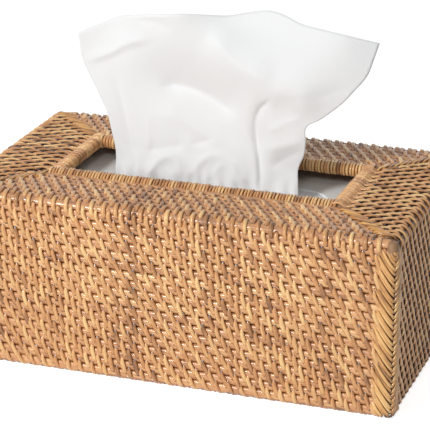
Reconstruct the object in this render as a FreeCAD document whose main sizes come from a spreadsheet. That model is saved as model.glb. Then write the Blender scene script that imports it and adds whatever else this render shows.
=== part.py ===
"""Woven rattan tissue box cover, standing over a half-used carton of tissues.

Millimetres, +Z up, origin at the centre of the base, front towards -Y, long side along X.
"""
import FreeCAD, Part
import math
import os

import Sketcher

Vector = FreeCAD.Vector

# Driving dimensions: name, value, what it is
SIZES = [
    ("cover_length", 254.0, "outside of the cover along X"),
    ("cover_width", 152.0, "outside of the cover along Y"),
    ("cover_height", 102.0, "floor to the top of the rim"),
    ("border_width", 49.0, "border of the top round the clear opening"),
    ("stake_width", 2.4, "flat strand that runs up the wall"),
    ("stake_thick", 1.0, "thickness of that strand"),
    ("stake_pitch", 3.6, "stake to stake"),
    ("weaver_width", 3.3, "strand that runs along the wall"),
    ("weaver_thick", 1.6, "thickness of that strand at its crown"),
    ("weaver_pitch", 5.0, "least spacing of the weavers"),
    ("weaver_flat_share", 0.45, "flat crown of a weaver as a share of its width"),
    ("slant_share", 1.4, "depth of a slanted stake as a share of its thickness"),
    ("weave_gap", 0.06, "air between a stake and the weaver it crosses"),
    ("edge_round", 3.0, "chamfer of the weave over the top edge"),
    ("floor_gap", 0.3, "strand ends above the floor"),
    ("frame_rod", 6.0, "diameter of the bottom rods, top rods and posts"),
    ("opening_rod", 5.0, "diameter of the rods round the opening"),
    ("brace_rod", 4.6, "diameter of the hip braces"),
    ("seat_gap", 0.15, "air between a rod and the weave round it"),
    ("binding_thick", 1.0, "wrapping round the rods of the opening"),
    ("lashing_width", 10.0, "leg of a herringbone corner lashing"),
    ("lashing_round", 4.0, "outer radius of a corner lashing"),
    ("mitre_width", 6.0, "flat strip on the mitre"),
    ("mitre_thick", 0.8, "thickness of that strip"),
    ("brad_diameter", 1.2, "brad through two rods"),
    ("brad_length", 10.0, "length of a brad"),
    ("brad_sink", 0.3, "brad head below the surface of its rod"),
    ("carton_end_gap", 0.35, "air between the carton and the posts along X"),
    ("carton_side_gap", 5.15, "air between the carton and the rods along Y"),
    ("carton_top_gap", 1.5, "air between the carton and the top rods"),
    ("board_thick", 0.8, "folded board"),
    ("slot_length_share", 0.85, "slot in the carton's top as a share of the opening along X"),
    ("slot_width_share", 0.67, "slot in the carton's top as a share of the opening along Y"),
    ("film_thick", 0.3, "film glued under the slot"),
    ("film_margin", 6.0, "film past the edge of the slot"),
    ("slit_width", 4.0, "slit between the two strips of film"),
    ("stack_height", 46.0, "tissues left in the carton"),
    ("stack_gap", 2.0, "air round the stack"),
    ("stack_round", 3.0, "rounding of the stack's top edges"),
    ("tissue_thick", 0.8, "gathered tissue"),
    ("tissue_rest_gap", 0.3, "air under the standing tissue"),
    ("tongue_fold", 1.0, "fold depth of the tissue in the slit"),
    ("trunk_left_share", 0.845, "reach of the tissue to -X as a share of half the slot"),
    ("trunk_right_share", 0.755, "reach of the tissue to +X as a share of half the slot"),
    ("flare_left", 24.0, "reach of the plume to -X past the slot's tissue"),
    ("flare_right", 44.0, "reach of the plume to +X past the slot's tissue"),
    ("plume_rise", 93.0, "highest point of the plume above the cover"),
    ("plume_fold", 11.0, "fold depth of the plume"),
    ("plume_drop", 23.0, "fall of the plume's left corner below its highest point"),
]

# Sizes that follow from them, as formulas of the sheet above
LAYOUT = [
    ("crimp", "(Sizes.weaver_thick / 2 + Sizes.weave_gap + Sizes.stake_thick * Sizes.slant_share / 2)"
              " / (1 - Sizes.weaver_flat_share * Sizes.weaver_width / Sizes.weaver_pitch)"),
    ("weave_half", "crimp + Sizes.stake_thick * Sizes.slant_share / 2"),
    ("rim_radius", "Sizes.opening_rod / 2 + Sizes.binding_thick"),
    ("top_plane", "Sizes.cover_height - max(rim_radius; weave_half)"),
    ("frame_inset", "2 * weave_half + Sizes.seat_gap + Sizes.frame_rod / 2"),
    ("post_x", "Sizes.cover_length / 2 - frame_inset"),
    ("post_y", "Sizes.cover_width / 2 - frame_inset"),
    ("bottom_rod_z", "Sizes.frame_rod / 2"),
    ("top_rod_z", "top_plane - weave_half - Sizes.seat_gap - Sizes.frame_rod / 2"),
    ("opening_length", "Sizes.cover_length - 2 * Sizes.border_width"),
    ("opening_width", "Sizes.cover_width - 2 * Sizes.border_width"),
    ("open_x", "opening_length / 2 + rim_radius"),
    ("open_y", "opening_width / 2 + rim_radius"),
    ("long_rod", "2 * post_x + Sizes.frame_rod"),
    ("short_rod", "2 * post_y - Sizes.frame_rod"),
    ("post_height", "top_rod_z - bottom_rod_z - Sizes.frame_rod"),
    ("open_long_rod", "2 * open_x + Sizes.opening_rod"),
    ("open_short_rod", "2 * open_y - Sizes.opening_rod"),
    ("brace_z", "top_rod_z + Sizes.frame_rod / 2 + Sizes.brace_rod / 2"),
    ("lashing_thick", "weave_half - Sizes.weaver_thick / 2 - Sizes.seat_gap"),
    ("lashing_height", "top_plane - Sizes.floor_gap"),
    ("carton_length", "2 * (post_x - Sizes.frame_rod / 2 - Sizes.carton_end_gap)"),
    ("carton_width", "2 * (post_y - Sizes.frame_rod / 2 - Sizes.carton_side_gap)"),
    ("carton_height", "top_rod_z - Sizes.frame_rod / 2 - Sizes.carton_top_gap"),
    ("slot_length", "opening_length * Sizes.slot_length_share"),
    ("slot_width", "opening_width * Sizes.slot_width_share"),
    ("film_z", "carton_height - Sizes.board_thick - Sizes.film_thick"),
    ("film_length", "slot_length + 2 * Sizes.film_margin"),
    ("film_strip", "(slot_width - Sizes.slit_width) / 2 + Sizes.film_margin"),
    ("stack_length", "carton_length - 2 * (Sizes.board_thick + Sizes.stack_gap)"),
    ("stack_width", "carton_width - 2 * (Sizes.board_thick + Sizes.stack_gap)"),
    ("trunk_left", "slot_length / 2 * Sizes.trunk_left_share"),
    ("trunk_right", "slot_length / 2 * Sizes.trunk_right_share"),
    ("plume_left", "trunk_left + Sizes.flare_left"),
    ("plume_right", "trunk_right + Sizes.flare_right"),
    ("plume_top", "Sizes.cover_height + Sizes.plume_rise"),
]

# Folds of the tissue across its width: fold depth at evenly spaced points, as shares of the fold depth there
FOLD_SHARES = (0.1, 0.45, -0.15, -0.55, -0.2, 0.35, 0.15, -0.35, 0.3, 0.95, -0.5, -1.0, 0.1, 0.6, -0.2)
# Stations of the plume above the cover: height, left reach, right reach and fold depth.
# Heights are shares of the plume's height over the cover; a reach is a share of the way from trunk to plume.
PLUME_STATION_SHARES = (
    (0.02, 0.02, 0.0, 0.80),
    (0.30, 0.36, 0.07, 0.90),
    (0.47, 0.69, 0.54, 1.0),
    (0.66, 0.95, 0.86, 0.90),
    (1.0, 1.0, 1.0, 0.70),
)
# Top edge of the plume: place along each reach, and fall as a share of the left corner's fall
PLUME_EDGE_SHARES = ((-1.0, 1.0), (-0.69, 0.48), (0.1, 0.25), (0.35, 0.0), (0.53, 0.27), (1.0, 0.58))

document = FreeCAD.newDocument("TissueBoxCover")
pieces = []


def fill_sheet(name, rows):
    """Makes a sheet with one aliased value a row."""
    sheet = document.addObject("Spreadsheet::Sheet", name)
    for number, (alias, text) in enumerate(rows, start=1):
        sheet.set("A%d" % number, alias)
        sheet.set("B%d" % number, text)
        sheet.setAlias("B%d" % number, alias)
    document.recompute()
    return sheet


sizes = fill_sheet("Sizes", [(alias, str(value)) for alias, value, note in SIZES])
layout = fill_sheet("Layout", [(alias, "=" + formula) for alias, formula in LAYOUT])


def value(alias):
    """Returns a size from either sheet as a number."""
    sheet = layout if alias in dict(LAYOUT) else sizes
    return float(sheet.get(alias))


def bind(item, **expressions):
    """Binds properties of an object to the sheets."""
    for name, expression in expressions.items():
        item.setExpression(name.replace("__", "."), expression)


def place(item, x, y, z, turn=None):
    """Turns an object and binds the place of its base to the sheets."""
    if turn is not None:
        item.Placement = FreeCAD.Placement(Vector(), turn)
    bind(item, Placement__Base__x=x, Placement__Base__y=y, Placement__Base__z=z)


def keep(item, label):
    """Lists an object as a finished piece under its own name."""
    item.Label = label
    pieces.append(item)
    return item


def keep_shape(label, shape, placement=FreeCAD.Placement()):
    """Keeps a shape built from the sheets as a finished piece."""
    item = document.addObject("Part::Feature", label)
    item.Shape = shape
    item.Placement = placement
    return keep(item, label)


ALONG_X = FreeCAD.Rotation(Vector(0, 1, 0), 90)
ALONG_Y = FreeCAD.Rotation(Vector(1, 0, 0), -90)
UPRIGHT = FreeCAD.Rotation()


def round_bar(name, diameter, length, turn, x, y, z):
    """Makes a round bar from its base point, with every size bound to the sheets."""
    bar = document.addObject("Part::Cylinder", name)
    bind(bar, Radius="(%s) / 2" % diameter, Height=length)
    place(bar, x, y, z, turn)
    return bar


# Brads: each goes through one rod into the end of the next
BRAD = ("Sizes.brad_diameter", "Sizes.brad_length")
SIDES = ((-1, "left"), (1, "right"))
ENDS = ((-1, "front"), (1, "back"))


def across_brad(name, x, y, z, rod, toward):
    """Makes a brad along Y that starts below the outer surface of a long rod."""
    start = "%s + %d * (%s / 2 - Sizes.brad_sink)" % (y, toward, rod)
    if toward > 0:
        start += " - Sizes.brad_length"
    return round_bar(name, *BRAD, ALONG_Y, x, start, z)


def make_brads():
    """Makes the brads of the frame as one group."""
    brads = []
    for x_sign, side in SIDES:
        for y_sign, end in ENDS:
            beside = "%d * (Layout.post_x + Sizes.brad_diameter)" % x_sign
            inside = "%d * (Layout.post_x - Sizes.brad_diameter)" % x_sign
            y = "%d * Layout.post_y" % y_sign
            corner = "%s_%s" % (end, side)
            for level in ("bottom", "top"):
                height = "Layout.%s_rod_z" % level
                brads.append(across_brad("Brad_%s_%s" % (level, corner), beside, y, height,
                                         "Sizes.frame_rod", y_sign))
            foot = "Sizes.brad_sink"
            head = "Layout.top_rod_z + Sizes.frame_rod / 2 - Sizes.brad_sink - Sizes.brad_length"
            brads.append(round_bar("Brad_foot_%s" % corner, *BRAD, UPRIGHT, inside, y, foot))
            brads.append(round_bar("Brad_head_%s" % corner, *BRAD, UPRIGHT, inside, y, head))
            brads.append(across_brad("Brad_open_%s" % corner, "%d * Layout.open_x" % x_sign,
                                     "%d * Layout.open_y" % y_sign, "Layout.top_plane",
                                     "Sizes.opening_rod", y_sign))
    group = document.addObject("Part::Compound", "Brads")
    group.Links = brads
    return keep(group, "frame_brads")


brads = make_brads()


def drilled(raw, label):
    """Cuts the holes of the brads in a rod and keeps it."""
    rod = document.addObject("Part::Cut", "Rod_" + label)
    rod.Base = raw
    rod.Tool = brads
    return keep(rod, label)


def make_ring(prefix, diameter, long_length, short_length, half_x, half_y, z):
    """Makes two long rods along X and two short rods that butt between them."""
    for sign, end in ENDS:
        raw = round_bar("Raw_%s_%s" % (prefix, end), diameter, long_length, ALONG_X,
                        "-(%s) / 2" % long_length, "%d * %s" % (sign, half_y), z)
        drilled(raw, "%s_%s" % (prefix, end))
    for sign, side in SIDES:
        raw = round_bar("Raw_%s_%s" % (prefix, side), diameter, short_length, ALONG_Y,
                        "%d * %s" % (sign, half_x), "-(%s) / 2" % short_length, z)
        drilled(raw, "%s_%s" % (prefix, side))


def make_posts():
    """Makes the four corner posts between the bottom rods and the top rods."""
    for x_sign, side in SIDES:
        for y_sign, end in ENDS:
            raw = round_bar("Raw_post_%s_%s" % (end, side), "Sizes.frame_rod", "Layout.post_height", UPRIGHT,
                            "%d * Layout.post_x" % x_sign, "%d * Layout.post_y" % y_sign, "Sizes.frame_rod")
            drilled(raw, "corner_post_%s_%s" % (end, side))


def make_opening_bindings():
    """Makes the wrapping round each rod of the opening, as long as the clear opening."""
    spans = {"front": "Layout.opening_length", "back": "Layout.opening_length",
             "left": "Layout.opening_width", "right": "Layout.opening_width"}
    places = {}
    for sign, end in ENDS:
        places[end] = (ALONG_X, "-%s / 2" % spans[end], "%d * Layout.open_y" % sign)
    for sign, side in SIDES:
        places[side] = (ALONG_Y, "%d * Layout.open_x" % sign, "-%s / 2" % spans[side])
    for side, (turn, x, y) in places.items():
        outer = round_bar("Wrap_outer_" + side, "2 * Layout.rim_radius", spans[side], turn, x, y,
                          "Layout.top_plane")
        inner = round_bar("Wrap_inner_" + side, "Sizes.opening_rod", spans[side], turn, x, y,
                          "Layout.top_plane")
        sleeve = document.addObject("Part::Cut", "Wrap_" + side)
        sleeve.Base = outer
        sleeve.Tool = inner
        keep(sleeve, "opening_binding_" + side)


make_ring("bottom_rod", "Sizes.frame_rod", "Layout.long_rod", "Layout.short_rod",
          "Layout.post_x", "Layout.post_y", "Layout.bottom_rod_z")
make_ring("top_rod", "Sizes.frame_rod", "Layout.long_rod", "Layout.short_rod",
          "Layout.post_x", "Layout.post_y", "Layout.top_rod_z")
make_ring("opening_rod", "Sizes.opening_rod", "Layout.open_long_rod", "Layout.open_short_rod",
          "Layout.open_x", "Layout.open_y", "Layout.top_plane")
make_posts()
make_opening_bindings()


def make_mitres():
    """Makes a hip brace and its flat binding on each diagonal of the top."""
    brace_radius = value("brace_rod") / 2
    brace_z = value("brace_z")
    clear_of_opening = value("opening_rod") / math.sqrt(2) + value("seat_gap")
    for x_sign, side in SIDES:
        for y_sign, end in ENDS:
            corner = Vector(x_sign * value("post_x"), y_sign * value("post_y"), brace_z)
            opening = Vector(x_sign * value("open_x"), y_sign * value("open_y"), brace_z)
            heading = (opening - corner).normalize()
            inner = opening - heading * clear_of_opening
            outer = corner - heading * (value("frame_rod") / 2)
            brace = Part.makeCylinder(brace_radius, (inner - outer).Length, outer, heading)
            keep_shape("hip_brace_%s_%s" % (end, side), brace)
            strip = Part.makeBox((inner - outer).Length, value("mitre_width"), value("mitre_thick"),
                                 Vector(0, -value("mitre_width") / 2, brace_radius))
            turn = FreeCAD.Rotation(Vector(1, 0, 0), heading)
            keep_shape("mitre_binding_%s_%s" % (end, side), strip, FreeCAD.Placement(outer, turn))


make_mitres()


class Side:
    """One wall of the cover and the border of the top above it.

    A point is given by its place along the wall, its depth inwards from the outside and its height.
    """

    def __init__(self, name, half_length, half_depth, to_world):
        self.name = name
        self.half_length = half_length
        self.half_depth = half_depth
        self.to_world = to_world

    def point(self, along, depth, height):
        """Returns a point of the wall in the part's own frame."""
        return self.to_world(along, depth - self.half_depth, height)

    def mitre_reach(self, place):
        """Returns how far along a strand may reach at a depth, or how deep at a place along, before the mitre."""
        channel = value("mitre_width") / 2 + value("seat_gap")
        return self.half_length - abs(place) - channel * math.sqrt(2)


def spaced(first, last, least):
    """Returns evenly spaced places from first to last, no closer than least."""
    count = max(1, int((last - first) / least))
    return [first + (last - first) * step / count for step in range(count + 1)]


def wall_rows():
    """Returns the heights of the weavers in a wall."""
    lowest = value("floor_gap") + value("weaver_width") / 2 + value("weave_gap")
    highest = value("top_plane") - value("weaver_pitch") - value("edge_round") + value("crimp")
    return spaced(lowest, highest, value("weaver_pitch"))


def border_rows():
    """Returns the depths of the weavers in a border of the top."""
    first = value("weave_half") + value("weaver_pitch") + value("edge_round") - value("crimp")
    last = rim_depth() - value("weaver_pitch") / 2
    return spaced(first, last, value("weaver_pitch"))


def rim_depth():
    """Returns the depth at which the stakes meet the wrapped rod of the opening."""
    return value("border_width") - 2 * value("rim_radius") - value("seat_gap")


def stake_line(side, along, outward):
    """Returns the bends of one stake, from the floor over the top edge to the opening or the mitre.

    outward is 1 where the stake passes outside the lowest weaver and -1 where it passes inside.
    """
    crimp = value("crimp")
    plane = value("weave_half")
    top = value("top_plane")
    sway = outward
    line = [(plane - sway * crimp, value("floor_gap"))]
    for height in wall_rows():
        line.append((plane - sway * crimp, height))
        sway = -sway
    line.append((plane - crimp, top + crimp - value("edge_round")))
    line.append((plane - crimp + value("edge_round"), top + crimp))
    sway = -sway
    for depth in border_rows():
        line.append((depth, top + sway * crimp))
        sway = -sway
    line.append((rim_depth(), top))
    reach = side.mitre_reach(abs(along) + value("stake_width") / 2)
    return shortened(line, reach)


def shortened(line, reach):
    """Ends a stake's line at a depth on the border."""
    kept = []
    for here, ahead in zip(line, line[1:]):
        kept.append(here)
        if ahead[0] > reach and ahead[0] > here[0]:
            share = (reach - here[0]) / (ahead[0] - here[0])
            kept.append((reach, here[1] + (ahead[1] - here[1]) * share))
            return kept
    return kept + [line[-1]]


def band_outline(line, thick):
    """Returns the closed outline of a band of even thickness along a bent line."""
    points = [Vector(depth, height, 0) for depth, height in line]
    headings = [(b - a).normalize() for a, b in zip(points, points[1:])]
    near, far = [], []
    for number, point in enumerate(points):
        before = headings[max(number - 1, 0)]
        after = headings[min(number, len(headings) - 1)]
        middle = (before + after).normalize()
        normal = Vector(-middle.y, middle.x, 0)
        offset = normal * (thick / 2 / middle.dot(before))
        near.append(point + offset)
        far.append(point - offset)
    return near + far[::-1]


def prism(side, outline, start, end):
    """Extrudes an outline of depths and heights along a wall."""
    points = [side.point(start, spot.x, spot.y) for spot in outline]
    face = Part.Face(Part.makePolygon(points + points[:1]))
    return face.extrude(side.point(end, 0, 0) - side.point(start, 0, 0))


def stake_places(side):
    """Returns the places of the stakes along a wall, clear of the corner lashings."""
    last = side.half_length - value("lashing_width") - value("seat_gap") - value("stake_width") / 2
    return spaced(-last, last, value("stake_pitch"))


def make_stakes(side):
    """Makes all stakes of one wall and its border as a group."""
    half = value("stake_width") / 2
    stakes = []
    for number, along in enumerate(stake_places(side)):
        line = stake_line(side, along, 1 if number % 2 else -1)
        outline = band_outline(line, value("stake_thick"))
        stakes.append(prism(side, outline, along - half, along + half))
    keep_shape(side.name + "_stakes", Part.makeCompound(stakes))


def weaver_outline(depth, height, upright):
    """Returns the six-sided section of a weaver, upright in a wall or flat in the top."""
    thick = value("weaver_thick") / 2
    wide = value("weaver_width") / 2
    flat = wide * value("weaver_flat_share")
    section = [(thick, -flat), (thick, flat), (0, wide), (-thick, flat), (-thick, -flat), (0, -wide)]
    if upright:
        return [Vector(depth + across, height + along, 0) for across, along in section]
    return [Vector(depth + along, height + across, 0) for across, along in section]


def make_weavers(side):
    """Makes the weavers of one wall and those of its border as two groups."""
    plane = value("weave_half")
    end = side.half_length - plane - value("weaver_thick") / 2 - value("weave_gap")
    wall = [prism(side, weaver_outline(plane, height, True), -end, end) for height in wall_rows()]
    keep_shape(side.name + "_weavers", Part.makeCompound(wall))
    border = []
    for depth in border_rows():
        reach = side.mitre_reach(depth + value("weaver_width") / 2)
        outline = weaver_outline(depth, value("top_plane"), False)
        border.append(prism(side, outline, -reach, reach))
    keep_shape("top_%s_weavers" % side.name, Part.makeCompound(border))


def make_weave():
    """Makes the stakes and weavers of all four sides."""
    half_x, half_y = value("cover_length") / 2, value("cover_width") / 2
    sides = (
        Side("front", half_x, half_y, lambda along, out, up: Vector(along, out, up)),
        Side("back", half_x, half_y, lambda along, out, up: Vector(-along, -out, up)),
        Side("left", half_y, half_x, lambda along, out, up: Vector(out, -along, up)),
        Side("right", half_y, half_x, lambda along, out, up: Vector(-out, along, up)),
    )
    for side in sides:
        make_stakes(side)
        make_weavers(side)


make_weave()


def outline_sketch(body, name, corners):
    """Draws a closed outline of upright and level lines on a body's base plane, starting at its origin.

    corners lists each corner with the expressions of its X and Y, and a start place as numbers.
    """
    sketch = body.newObject("Sketcher::SketchObject", name)
    plane = [item for item in body.Origin.OriginFeatures if item.Role == "XY_Plane"][0]
    sketch.AttachmentSupport = (plane, [""])
    sketch.MapMode = "FlatFace"
    spots = [Vector(x, y, 0) for (x_name, x), (y_name, y) in corners]
    for here, ahead in zip(spots, spots[1:] + spots[:1]):
        sketch.addGeometry(Part.LineSegment(here, ahead))
    count = len(spots)
    for number in range(count):
        sketch.addConstraint(Sketcher.Constraint("Coincident", number, 2, (number + 1) % count, 1))
    for number, ((x_name, x), (y_name, y)) in enumerate(corners):
        for kind, expression, start in (("DistanceX", x_name, x), ("DistanceY", y_name, y)):
            index = sketch.addConstraint(Sketcher.Constraint(kind, -1, 1, number, 1, start))
            sketch.setExpression("Constraints[%d]" % index, expression)
    return sketch


def padded_body(name, corners, height):
    """Makes a body that is an outline padded upwards."""
    body = document.addObject("PartDesign::Body", name)
    sketch = outline_sketch(body, name + "_outline", corners)
    pad = body.newObject("PartDesign::Pad", name + "_pad")
    pad.Profile = sketch
    bind(pad, Length=height)
    document.recompute()
    return body, pad


def rounded(body, pad, radius, chosen):
    """Rounds the chosen edges of a body."""
    names = ["Edge%d" % number for number, edge in enumerate(pad.Shape.Edges, start=1) if chosen(edge)]
    fillet = body.newObject("PartDesign::Fillet", body.Name + "_round")
    fillet.Base = (pad, names)
    bind(fillet, Radius=radius)
    document.recompute()
    return body


def make_corner_lashings():
    """Makes the herringbone band round each upright edge as an angle with a rounded outside."""
    wide = ("Sizes.lashing_width", value("lashing_width"))
    thick = ("Layout.lashing_thick", value("lashing_thick"))
    zero = ("0", 0)
    corners = [(zero, zero), (wide, zero), (wide, thick), (thick, thick), (thick, wide), (zero, wide)]
    turns = {("front", "left"): 0, ("front", "right"): 1, ("back", "right"): 2, ("back", "left"): 3}
    quarter = 90
    for x_sign, side in SIDES:
        for y_sign, end in ENDS:
            body, pad = padded_body("Lashing_%s_%s" % (end, side), corners, "Layout.lashing_height")
            rounded(body, pad, "Sizes.lashing_round",
                    lambda edge: all(abs(spot.X) + abs(spot.Y) == 0 for spot in edge.Vertexes))
            turn = FreeCAD.Rotation(Vector(0, 0, 1), quarter * turns[(end, side)])
            place(body, "%d * Sizes.cover_length / 2" % x_sign, "%d * Sizes.cover_width / 2" % y_sign,
                  "Sizes.floor_gap", turn)
            keep(body, "corner_lashing_%s_%s" % (end, side))


make_corner_lashings()


def centred_box(name, length, width, height, z, y=None):
    """Makes a box centred over the origin, or from a given Y, with every size bound to the sheets."""
    box = document.addObject("Part::Box", name)
    bind(box, Length=length, Width=width, Height=height)
    place(box, "-(%s) / 2" % length, y or "-(%s) / 2" % width, z)
    return box


def cut(name, base, tool):
    """Cuts one object out of another."""
    item = document.addObject("Part::Cut", name)
    item.Base = base
    item.Tool = tool
    return item


def make_carton():
    """Makes the folded carton with its oblong slot, and the two strips of film under it."""
    outside = centred_box("Carton_outside", "Layout.carton_length", "Layout.carton_width",
                          "Layout.carton_height", "0")
    inside = centred_box("Carton_inside", "Layout.carton_length - 2 * Sizes.board_thick",
                         "Layout.carton_width - 2 * Sizes.board_thick",
                         "Layout.carton_height - 2 * Sizes.board_thick", "Sizes.board_thick")
    through = "4 * Sizes.board_thick"
    slot_z = "Layout.carton_height - 2 * Sizes.board_thick"
    straight = "Layout.slot_length - Layout.slot_width"
    slot = document.addObject("Part::MultiFuse", "Slot")
    slot.Shapes = [centred_box("Slot_middle", straight, "Layout.slot_width", through, slot_z)] + [
        round_bar("Slot_%s" % side, "Layout.slot_width", through, UPRIGHT,
                  "%d * (%s) / 2" % (sign, straight), "0", slot_z) for sign, side in SIDES]
    keep(cut("Carton", cut("Carton_shell", outside, inside), slot), "carton")
    starts = {"front": "-Sizes.slit_width / 2 - Layout.film_strip", "back": "Sizes.slit_width / 2"}
    for end, start in starts.items():
        film = centred_box("Film_" + end, "Layout.film_length", "Layout.film_strip", "Sizes.film_thick",
                           "Layout.film_z", start)
        keep(film, "slot_film_" + end)


def make_stack():
    """Makes the tissues left in the carton, a block with softly rounded top edges."""
    half_x = ("Layout.stack_length / 2", value("stack_length") / 2)
    half_y = ("Layout.stack_width / 2", value("stack_width") / 2)
    minus_x = ("-Layout.stack_length / 2", -value("stack_length") / 2)
    minus_y = ("-Layout.stack_width / 2", -value("stack_width") / 2)
    corners = [(minus_x, minus_y), (half_x, minus_y), (half_x, half_y), (minus_x, half_y)]
    body, pad = padded_body("Stack", corners, "Sizes.stack_height")
    top = pad.Shape.BoundBox.ZMax
    rounded(body, pad, "Sizes.stack_round", lambda edge: abs(edge.BoundBox.ZMin - top) < value("weave_gap"))
    place(body, "0", "0", "Sizes.board_thick")
    keep(body, "tissue_stack")


make_carton()
make_stack()


def tissue_section(height, left, right, fold):
    """Returns the closed outline of the folded tissue at one height."""
    steps = len(FOLD_SHARES) - 1
    half = value("tissue_thick") / 2
    front, back = [], []
    for number, share in enumerate(FOLD_SHARES):
        x = -left + (left + right) * number / steps
        front.append(Vector(x, share * fold - half, height))
        back.append(Vector(x, share * fold + half, height))
    points = front + back[::-1]
    return Part.makePolygon(points + points[:1])


def make_tissue():
    """Makes the standing tissue: a flat tongue in the slit that opens into a folded plume."""
    cover_top, plume_top = value("cover_height"), value("plume_top")
    left, right = value("trunk_left"), value("trunk_right")
    more_left, more_right = value("plume_left") - left, value("plume_right") - right
    foot = value("board_thick") + value("stack_height") + value("tissue_rest_gap")
    sections = [tissue_section(foot, left, right, value("tongue_fold")),
                tissue_section(value("carton_height"), left, right, value("tongue_fold"))]
    for height_share, left_share, right_share, fold_share in PLUME_STATION_SHARES:
        height = cover_top + (plume_top - cover_top) * height_share
        sections.append(tissue_section(height, left + more_left * left_share, right + more_right * right_share,
                                       value("plume_fold") * fold_share))
    folded = Part.makeLoft(sections, True, True)
    edge = []
    for along_share, fall_share in PLUME_EDGE_SHARES:
        reach = value("plume_left") if along_share < 0 else value("plume_right")
        edge.append(Vector(along_share * reach, 0, plume_top - value("plume_drop") * fall_share))
    sheet = [Vector(-value("plume_left"), 0, 0)] + edge + [Vector(value("plume_right"), 0, 0)]
    depth = Vector(0, 4 * value("plume_fold"), 0)
    outline = Part.Face(Part.makePolygon([spot - depth / 2 for spot in sheet + sheet[:1]]))
    keep_shape("tissue", folded.common(outline.extrude(depth)))


make_tissue()

document.recompute()
for item in document.Objects:
    if "Invalid" in item.State or "Error" in item.State:
        raise RuntimeError("%s did not recompute: %s" % (item.Label, item.State))
for item in pieces:
    if item.Shape.isNull() or not item.Shape.isValid():
        raise RuntimeError("%s has no valid shape" % item.Label)
os.makedirs("parts", exist_ok=True)
for item in pieces:
    item.Shape.exportStep("parts/%s.step" % item.Label)
    box = item.Shape.BoundBox
    print("%-32s solids %3d  volume %10.1f  x %7.2f %7.2f  y %7.2f %7.2f  z %7.2f %7.2f" % (
        item.Label, len(item.Shape.Solids), item.Shape.Volume,
        box.XMin, box.XMax, box.YMin, box.YMax, box.ZMin, box.ZMax))
print("%d pieces" % len(pieces))
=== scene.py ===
"""Woven rattan tissue box cover over a half-used carton, dressed for the photograph's view."""
import logging
import math
from dataclasses import dataclass
from enum import Enum
from typing import Sequence

import bmesh
import bpy
import numpy as np
from mathutils import Matrix, Vector


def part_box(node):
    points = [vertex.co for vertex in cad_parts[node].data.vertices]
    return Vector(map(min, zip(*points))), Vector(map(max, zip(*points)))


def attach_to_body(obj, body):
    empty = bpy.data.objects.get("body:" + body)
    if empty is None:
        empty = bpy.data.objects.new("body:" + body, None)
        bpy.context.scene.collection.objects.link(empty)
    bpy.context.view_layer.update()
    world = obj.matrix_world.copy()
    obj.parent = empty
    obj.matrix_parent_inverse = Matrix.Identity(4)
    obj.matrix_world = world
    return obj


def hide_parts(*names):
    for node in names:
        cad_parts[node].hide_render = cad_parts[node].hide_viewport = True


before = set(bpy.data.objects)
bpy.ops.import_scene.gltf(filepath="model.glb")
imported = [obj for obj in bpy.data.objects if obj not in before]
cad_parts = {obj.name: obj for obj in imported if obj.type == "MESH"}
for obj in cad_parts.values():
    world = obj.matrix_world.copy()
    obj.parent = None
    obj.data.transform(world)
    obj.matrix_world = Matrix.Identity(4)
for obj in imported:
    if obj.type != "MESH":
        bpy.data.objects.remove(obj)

MM = 0.001
LOG = logging.getLogger("tissue_box_cover")
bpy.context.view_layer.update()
Colour = tuple[float, float, float]
Spot = tuple[float, float, float]
Line = Sequence[tuple[float, float]]


def run_lengths(points: np.ndarray) -> np.ndarray:
    """Returns the length along a line at each of its points."""
    return np.concatenate([[0.0], np.cumsum(np.linalg.norm(np.diff(points, axis=0), axis=1))])


def along_line(runs: np.ndarray, marks: np.ndarray, points: np.ndarray) -> np.ndarray:
    """Returns the points at lengths along a flat line, whose own points lie at the marks."""
    return np.stack([np.interp(runs, marks, points[:, i]) for i in (0, 1)], axis=-1)


def ease(share: np.ndarray | float) -> np.ndarray | float:
    """Returns shares that leave 0 and reach 1 softly."""
    return share * share * (3 - 2 * share)


def pick_tone(rng: np.random.Generator, middle: float, spread: float, low: float, high: float) -> float:
    """Returns the scattered tone of one strand, between two limits."""
    return float(np.clip(rng.normal(middle, spread), low, high))


class WallSide(Enum):
    """The four walls of the cover, each with the border of the top above it."""

    FRONT = "front"
    BACK = "back"
    LEFT = "left"
    RIGHT = "right"

    @property
    def is_long(self) -> bool:
        """Returns whether the wall is one of the two long ones."""
        return self in (WallSide.FRONT, WallSide.BACK)


class Corner(Enum):
    """The four upright corners of the cover, by the signs of their X and Y."""

    FRONT_LEFT = (-1, -1)
    FRONT_RIGHT = (1, -1)
    BACK_LEFT = (-1, 1)
    BACK_RIGHT = (1, 1)

    @property
    def label(self) -> str:
        """Returns the corner's name as the nodes write it."""
        return self.name.lower()


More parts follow.
